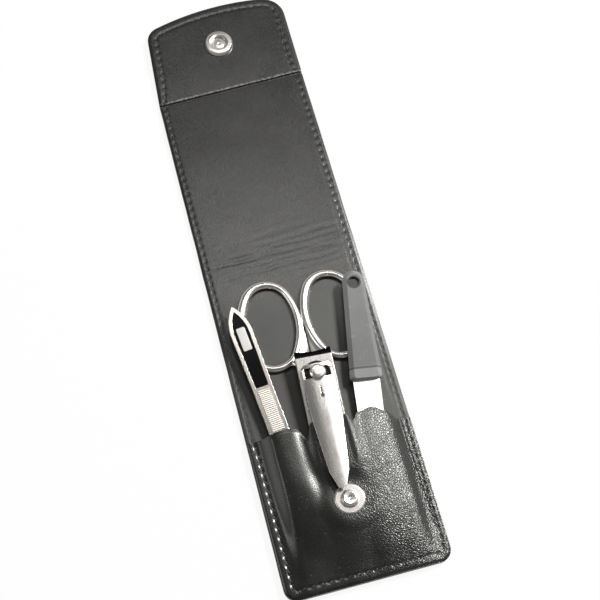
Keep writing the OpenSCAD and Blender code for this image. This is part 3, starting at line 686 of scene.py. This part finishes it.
class Nodes:
    def __init__(self, tree):
        self.tree = tree

    def node(self, kind, settings=None, sockets=None, out=0):
        node = self.tree.nodes.new(kind)
        for key, value in (settings or {}).items():
            if key == "stops":
                ramp = node.color_ramp
                while len(ramp.elements) < len(value):
                    ramp.elements.new(0.5)
                for element, (at, color) in zip(ramp.elements, value):
                    element.position, element.color = at, color
            else:
                setattr(node, key, value)
        for key, value in (sockets or {}).items():
            self.feed(node.inputs[key], value)
        return Wire(self.tree, node.outputs[out])

    def feed(self, slot, value):
        if isinstance(value, Wire):
            self.tree.links.new(value.socket, slot)
        else:
            slot.default_value = value


class Finish(Nodes):
    def __init__(self, name):
        self.material = bpy.data.materials.new(name)
        self.material.use_nodes = True
        super().__init__(self.material.node_tree)
        self.shader = self.tree.nodes["Principled BSDF"]
        self.spot = self.node("ShaderNodeTexCoord", out="Object")

    def set(self, **values):
        for key, value in values.items():
            self.feed(self.shader.inputs[key.replace("_", " ")], value)
        return self

    def now(self, name):  # what feeds this socket of the shader so far
        return Wire(self.tree, self.shader.inputs[name].links[0].from_socket)

    def noise(self, scale, detail=2.0, rough=0.5, stretch=None):
        spot = self.spot
        if stretch:
            spot = self.node("ShaderNodeMapping", None, {"Vector": spot, "Scale": stretch})
        return self.node("ShaderNodeTexNoise", None,
                         {"Vector": spot, "Scale": scale, "Detail": detail, "Roughness": rough})

    def cells(self, scale):
        return self.node("ShaderNodeTexVoronoi", {"feature": "DISTANCE_TO_EDGE"},
                         {"Vector": self.spot, "Scale": scale})

    def blend(self, factor, low, high):
        return self.node("ShaderNodeMix", {"data_type": "RGBA"}, {0: factor, 6: low, 7: high}, out=2)

    def along(self, direction, origin):  # how far a point lies from origin along direction, in mm
        dot = self.node("ShaderNodeVectorMath", {"operation": "DOT_PRODUCT"},
                        {0: self.spot, 1: direction}, out=1)
        return dot * 1000 - sum(a * b for a, b in zip(direction, origin))

    def band(self, value, low, high):
        return self.node("ShaderNodeMapRange", None, {"Value": value, "From Min": low, "From Max": high})

    def bump(self, height, depth, **more):  # depth in mm
        return self.node("ShaderNodeBump", None, {"Height": height, "Distance": depth / 1000, **more})

    def rounded(self, radius):  # softens sharp edges, with the radius in mm
        return self.node("ShaderNodeBevel", {"samples": 4}, {"Radius": radius / 1000})


def grey(v, warm=0.0):
    return (v * (1 + warm), v, v * (1 - warm), 1)


def leatherFinish(name, dark, light, gloss, dull, grain, grainDepth, dust=0.0, even=True):
    f, warm = Finish(name), 0.03
    cloud = f.noise(70, 3)
    pebble = f.band(f.cells(grain), 0.0, 0.22)
    fine = f.noise(grain * 2.2, 3, 0.6)
    height = pebble * 0.75 + fine * 0.25
    rub = 0.0
    if not even:  # the left side of the pocket is rubbed smooth
        rub = 1 - f.band(f.along((1, 0, 0), (0, 0, 0)), -14, 12)
        height = height * (1.3 - rub * 1.1)
    wear = f.band(cloud, 0.35, 0.7)
    color = f.blend(wear, grey(dark, warm), grey(light, warm))
    if dust:  # a few pale specks lie in the grain
        speck = f.band(f.noise(1500, 1, 0.4), 0.77 - 0.07 * dust, 0.83 - 0.07 * dust)
        color = f.blend(speck * f.band(f.noise(160, 2), 0.42, 0.7) * 0.8, color, grey(0.16, warm))
    polish = f.band(cloud, 0.2, 0.8) * (dull - gloss) + gloss + (1 - pebble) * 0.06 - rub * 0.05
    return f.set(Base_Color=color, Roughness=polish, Specular_IOR_Level=1.0,
                 Specular_Tint=(1, 0.995, 0.95, 1), Normal=f.bump(height, grainDepth, Strength=1.0))


def metalFinish(name, color, gloss, scratch=0.03, shadeMask=None):
    f = Finish(name)
    haze = f.noise(180, 3)
    hair = f.noise(900, 2, 0.5, stretch=(1, 0.04, 1))
    # a painted-shade mask, when given, blends the steel towards near black
    return f.set(Base_Color=color if shadeMask is None else f.blend(shadeMask(f), color, grey(0.012)), Metallic=1.0,
                 Roughness=f.band(haze, 0.25, 0.8) * 0.05 + hair * scratch + gloss,
                 Normal=f.bump(hair, 0.004, Strength=0.3, Normal=f.rounded(0.25)))


def axesOf(turn, pitch):  # a tool's own sideways and lengthways directions
    stand = Matrix.Rotation(math.radians(turn), 3, "Z") @ Matrix.Rotation(math.radians(pitch), 3, "X")
    return tuple(stand.col[0]), tuple(stand.col[1])


# Where the tools lie: origin in mm in the frame, turn and pitch in degrees, and places along the tool
clipperAt = {
    "origin": (-1.3, 41.8 - halfLong, 5.3), "turn": -3.2, "pitch": 1.5,
    "bevelFrom": 47.4, "pinY": 40.0, "window": (5.2, 5.6),
}
tweezersAt = {
    "origin": (-15.7, 32.5 - halfLong, 2.6), "turn": 6.2, "pitch": 2.6,
    "panelFrom": 31.5, "panelTo": 49.0, "panelSide": (2.3, 2.6), "ribPitch": 0.8,
}
fileAt = {
    "origin": (13.05, 30.4 - halfLong, 2.85), "turn": -8.4, "pitch": 2.3,
    "holeY": 86.5, "holeShade": (2.7, 3.0), "lineY": 50.2, "footLight": (50.4, 51.2),
}


def onTool(f, tool):  # how far along the tool a point lies, and how far to its side
    sideways, lengthways = axesOf(tool["turn"], tool["pitch"])
    return f.along(lengthways, tool["origin"]), f.along(sideways, tool["origin"])


def fromSpot(down, over, at):  # distance from a spot on the tool's middle line
    return (over * over + (down - at) * (down - at)) ** 0.5


# Painted shade: the bevel behind the cutting edge is painted near black for the dark it reflects, and the
# jaw in the lever's window is painted dark for the shade that lies there
def paintedFrontShade(f):
    down, over = onTool(f, clipperAt)
    bevel = f.band(down, clipperAt["bevelFrom"], clipperAt["bevelFrom"] + 0.1)
    window = 1 - f.band(fromSpot(down, over, clipperAt["pinY"]), *clipperAt["window"])
    return bevel.larger(window * 0.96)


print("mixing the finishes")
outerLeather = leatherFinish("outerLeather", 0.008, 0.013, 0.36, 0.46, 1300, 0.05)
pocketLeather = leatherFinish("pocketLeather", 0.005, 0.009, 0.27, 0.34, 1150, 0.05, dust=1.0, even=False)

liningLeather = leatherFinish("liningLeather", 0.010, 0.014, 0.23, 0.29, 2300, 0.010, dust=0.5)
fromMiddle = liningLeather.along((0.1, 1, 0), (0, 0, 0))
matt = 1 - liningLeather.band(fromMiddle, -50, -10)  # dull where the tools press it
liningLeather.set(Roughness=liningLeather.now("Roughness") + matt * 0.26)

facingLeather = leatherFinish("facingLeather", 0.009, 0.013, 0.23, 0.29, 2300, 0.010, dust=0.5)
pastCrease = facingLeather.along((-math.sin(case["flapSlant"]), math.cos(case["flapSlant"]), 0), (0, 89, 0))
frayed = facingLeather.band(facingLeather.noise(900, 2), 0.40, 0.62)
rawEdgeAndHighlight = (1 - facingLeather.band(pastCrease, 1.15, 1.5)) * frayed  # a pale raw edge at the crease, lightened partly as a painted highlight of the lit lip
facingLeather.set(Base_Color=facingLeather.blend(
    rawEdgeAndHighlight * 0.8, facingLeather.now("Base Color"), grey(0.24, 0.03)))

steelColor, armColor = (0.88, 0.85, 0.81, 1), (0.78, 0.73, 0.66, 1)
toolSteel = metalFinish("toolSteel", steelColor, 0.22)
# the upper jaw's steel carries the painted shade of its front bevel and of the lever's window
jawSteel = metalFinish("jawSteel", steelColor, 0.24, shadeMask=paintedFrontShade)
snapMetal = metalFinish("snapMetal", (0.88, 0.84, 0.80, 1), 0.27)
rivetMetal = metalFinish("rivetMetal", (0.60, 0.59, 0.57, 1), 0.22)
plaqueSatin = metalFinish("plaqueSatin", (0.62, 0.60, 0.57, 1), 0.30, 0.10)

thread = Finish("thread")
# pale flecks along the thread: its twist, and partly painted highlights on the thread
twistAndHighlight = thread.band(thread.noise(700, 2), 0.4, 0.65)
thread.set(Base_Color=thread.blend(twistAndHighlight, grey(0.02), grey(0.12)), Roughness=0.5,
           Normal=thread.bump(thread.noise(2500, 2), 0.05, Strength=1.0))

# Painted shade: the near-black inlay, with hardly any reflection, stands for the shade deep in the gap
# between the tweezers' arms
inlayShade = Finish("inlayShade")
inlayShade.set(Base_Color=grey(0.003), Roughness=inlayShade.noise(300, 2) * 0.06 + 0.20,
               Specular_IOR_Level=0.10)

armSteel = metalFinish("armSteel", armColor, 0.20)  # with a ribbed panel for the fingers
down, over = onTool(armSteel, tweezersAt)
panel = (armSteel.band(down, tweezersAt["panelFrom"], tweezersAt["panelFrom"] + 0.3)
         * (1 - armSteel.band(down, tweezersAt["panelTo"], tweezersAt["panelTo"] + 0.3))
         * (1 - armSteel.band(over.absolute(), *tweezersAt["panelSide"])))
ribs = (down * (2 * math.pi / tweezersAt["ribPitch"])).sine() * 0.5 + 0.5
armSteel.set(Base_Color=armSteel.blend(panel * ribs * 0.2, armColor, (0.42, 0.38, 0.33, 1)),
             Normal=armSteel.bump(panel * ribs, 0.04, Strength=1.0, Normal=armSteel.rounded(0.25)))

fileGrit = Finish("fileGrit")
grit = fileGrit.noise(3500, 2, 0.7)
fileGrit.set(Base_Color=(0.88, 0.88, 0.86, 1), Metallic=1.0, Roughness=grit * 0.2 + 0.32,
             Normal=fileGrit.bump(grit, 0.02, Strength=1.0))

smokyPlastic = Finish("smokyPlastic")
down, over = onTool(smokyPlastic, fileAt)
# painted shade: a dark disc round the dimple at the handle's end
holeShade = 1 - smokyPlastic.band(fromSpot(down, over, fileAt["holeY"]), *fileAt["holeShade"])
line = 1 - smokyPlastic.band((down - fileAt["lineY"]).absolute(), 0.25, 0.6)
# painted light: the handle is painted lighter towards its rounded end, for light showing through the
# plastic
pale = smokyPlastic.blend(smokyPlastic.band(down, 48, 84), grey(0.20, 0.01), grey(0.24, 0.01))
cloudy = smokyPlastic.blend(smokyPlastic.noise(90, 2) * 0.35, pale, grey(0.06))
# painted light: a pale band at the handle's foot, for light showing through the plastic there
footLight = smokyPlastic.blend((1 - smokyPlastic.band(down, *fileAt["footLight"])) * 0.6, cloudy, grey(0.34, 0.01))
smokyPlastic.set(Base_Color=smokyPlastic.blend((holeShade * 0.9).larger(line * 0.7), footLight, grey(0.03)),
                 Roughness=smokyPlastic.noise(400, 2) * 0.08 + 0.22, Coat_Weight=0.2, Coat_Roughness=0.1)

boardCard = Finish("boardCard")
fibres = boardCard.noise(500, 4)
boardCard.set(Base_Color=boardCard.blend(fibres, (0.20, 0.15, 0.10, 1), (0.32, 0.25, 0.17, 1)),
              Roughness=0.9)


def dress(piece, finish):
    piece.data.materials.clear()
    piece.data.materials.append(finish.material)


finishOfNode = {
    "snap_stud": snapMetal, "snap_socket": snapMetal, "stud_post": rivetMetal, "socket_spring": rivetMetal,
    "socket_cap": snapMetal, "scissor_left": toolSteel, "scissor_right": toolSteel,
    "scissor_screw": toolSteel, "clipper_lower_jaw": toolSteel, "clipper_upper_jaw": jawSteel,
    "clipper_rivet": rivetMetal, "clipper_pin": toolSteel, "clipper_lever": toolSteel,
    "tweezer_upper_arm": armSteel, "tweezer_lower_arm": toolSteel,
    "tweezer_inlay": inlayShade, "tweezer_plaque": plaqueSatin,
    "file_handle": smokyPlastic, "file_blade": fileGrit, "base_board": boardCard, "cover_board": boardCard,
}
for nodeName, finish in finishOfNode.items():
    dress(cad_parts[nodeName], finish)
for piece in ringPieces:
    dress(piece, toolSteel)
for piece in (skinLow, skinMiddle, skinHigh):
    dress(piece, outerLeather)
for piece in (liningLow, liningHigh):
    dress(piece, liningLeather)
dress(facing, facingLeather)
dress(pocketPiece, pocketLeather)
for row in threadRows:
    dress(row, thread)


for piece in (skinLow, liningLow):
    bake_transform(piece)
for piece in (skinMiddle, liningHigh):
    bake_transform(piece)
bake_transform(skinHigh)
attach(facing, "flap")
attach(pocketPiece, "base")
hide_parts("base_leather", "spine_leather")
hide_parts("cover_leather", "flap_leather")
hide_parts("base_lining", "spine_lining")
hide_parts("cover_lining")
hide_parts("flap_facing")
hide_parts("pocket_front")

# Floor, light and camera
print("setting the light and the camera")
bpy.ops.object.select_all(action="DESELECT")
bpy.ops.mesh.primitive_plane_add(size=12, location=(0, 0, -0.0002))
floor = bpy.context.object
floor.name = "floor"
paper = Finish("paper")
paper.set(Base_Color=(0.92, 0.92, 0.92, 1), Roughness=0.9)
direct = [paper.node("ShaderNodeLightPath", out="Is %s Ray" % ray)
          for ray in ("Camera", "Glossy", "Transmission")]
glow = paper.node("ShaderNodeEmission", None, {"Strength": 1.0})
mixed = paper.node("ShaderNodeMixShader", None, {0: (direct[0] + direct[1] + direct[2]) * 0.92,
                                                 1: Wire(paper.tree, paper.shader.outputs[0]), 2: glow})
paper.tree.links.new(mixed.socket, paper.tree.nodes["Material Output"].inputs[0])
dress(floor, paper)

# The room: pale round the horizon and dim overhead
scene = bpy.context.scene
world = bpy.data.worlds.new("studio")
scene.world = world
world.use_nodes = True
room = {0.0: 1.0, 0.12: 0.85, 0.45: 0.28, 0.75: 0.13}
sky = Nodes(world.node_tree)
up = sky.node("ShaderNodeSeparateXYZ", None, {0: sky.node("ShaderNodeTexCoord", out="Generated")}, out="Z")
shade = sky.node("ShaderNodeValToRGB", {"stops": [(at, (v, v, v, 1)) for at, v in room.items()]}, {0: up})
background = sky.tree.nodes["Background"]
sky.feed(background.inputs["Color"], shade)
sky.feed(background.inputs["Strength"], 0.85)


def softLamp(name, spot, size, radiance):  # a round soft box that faces the case
    lamp = bpy.data.lights.new(name, "AREA")
    lamp.shape, lamp.size = "DISK", size
    lamp.energy = radiance * math.pi * math.pi * size * size / 4
    holder = bpy.data.objects.new(name, lamp)
    scene.collection.objects.link(holder)
    holder.location = spot
    holder.rotation_euler = Vector(spot).to_track_quat("Z", "Y").to_euler()


softLamp("farLamp", (0.08, 0.36, 0.93), 0.25, 4.5)
softLamp("rightLamp", (0.56, 0.17, 0.81), 0.25, 66)
softLamp("leftLamp", (-0.75, 0.05, 0.70), 0.36, 2)

# The camera as it was solved from the outline of the case
photo = {"focalPixels": 1142.47, "pixels": 600, "sensor": 36}
camera = bpy.data.cameras.new("photoCamera")
camera.lens = photo["sensor"] * photo["focalPixels"] / photo["pixels"]
camera.sensor_width = photo["sensor"]
holder = bpy.data.objects.new("photoCamera", camera)
scene.collection.objects.link(holder)
holder.matrix_world = Matrix((
    (0.96543, 0.227631, -0.127002, -0.056265),
    (-0.258433, 0.899471, -0.352369, -0.181716),
    (0.034024, 0.373009, 0.927204, 0.438490),
    (0, 0, 0, 1)))
scene.camera = holder

scene.view_settings.view_transform = "Standard"
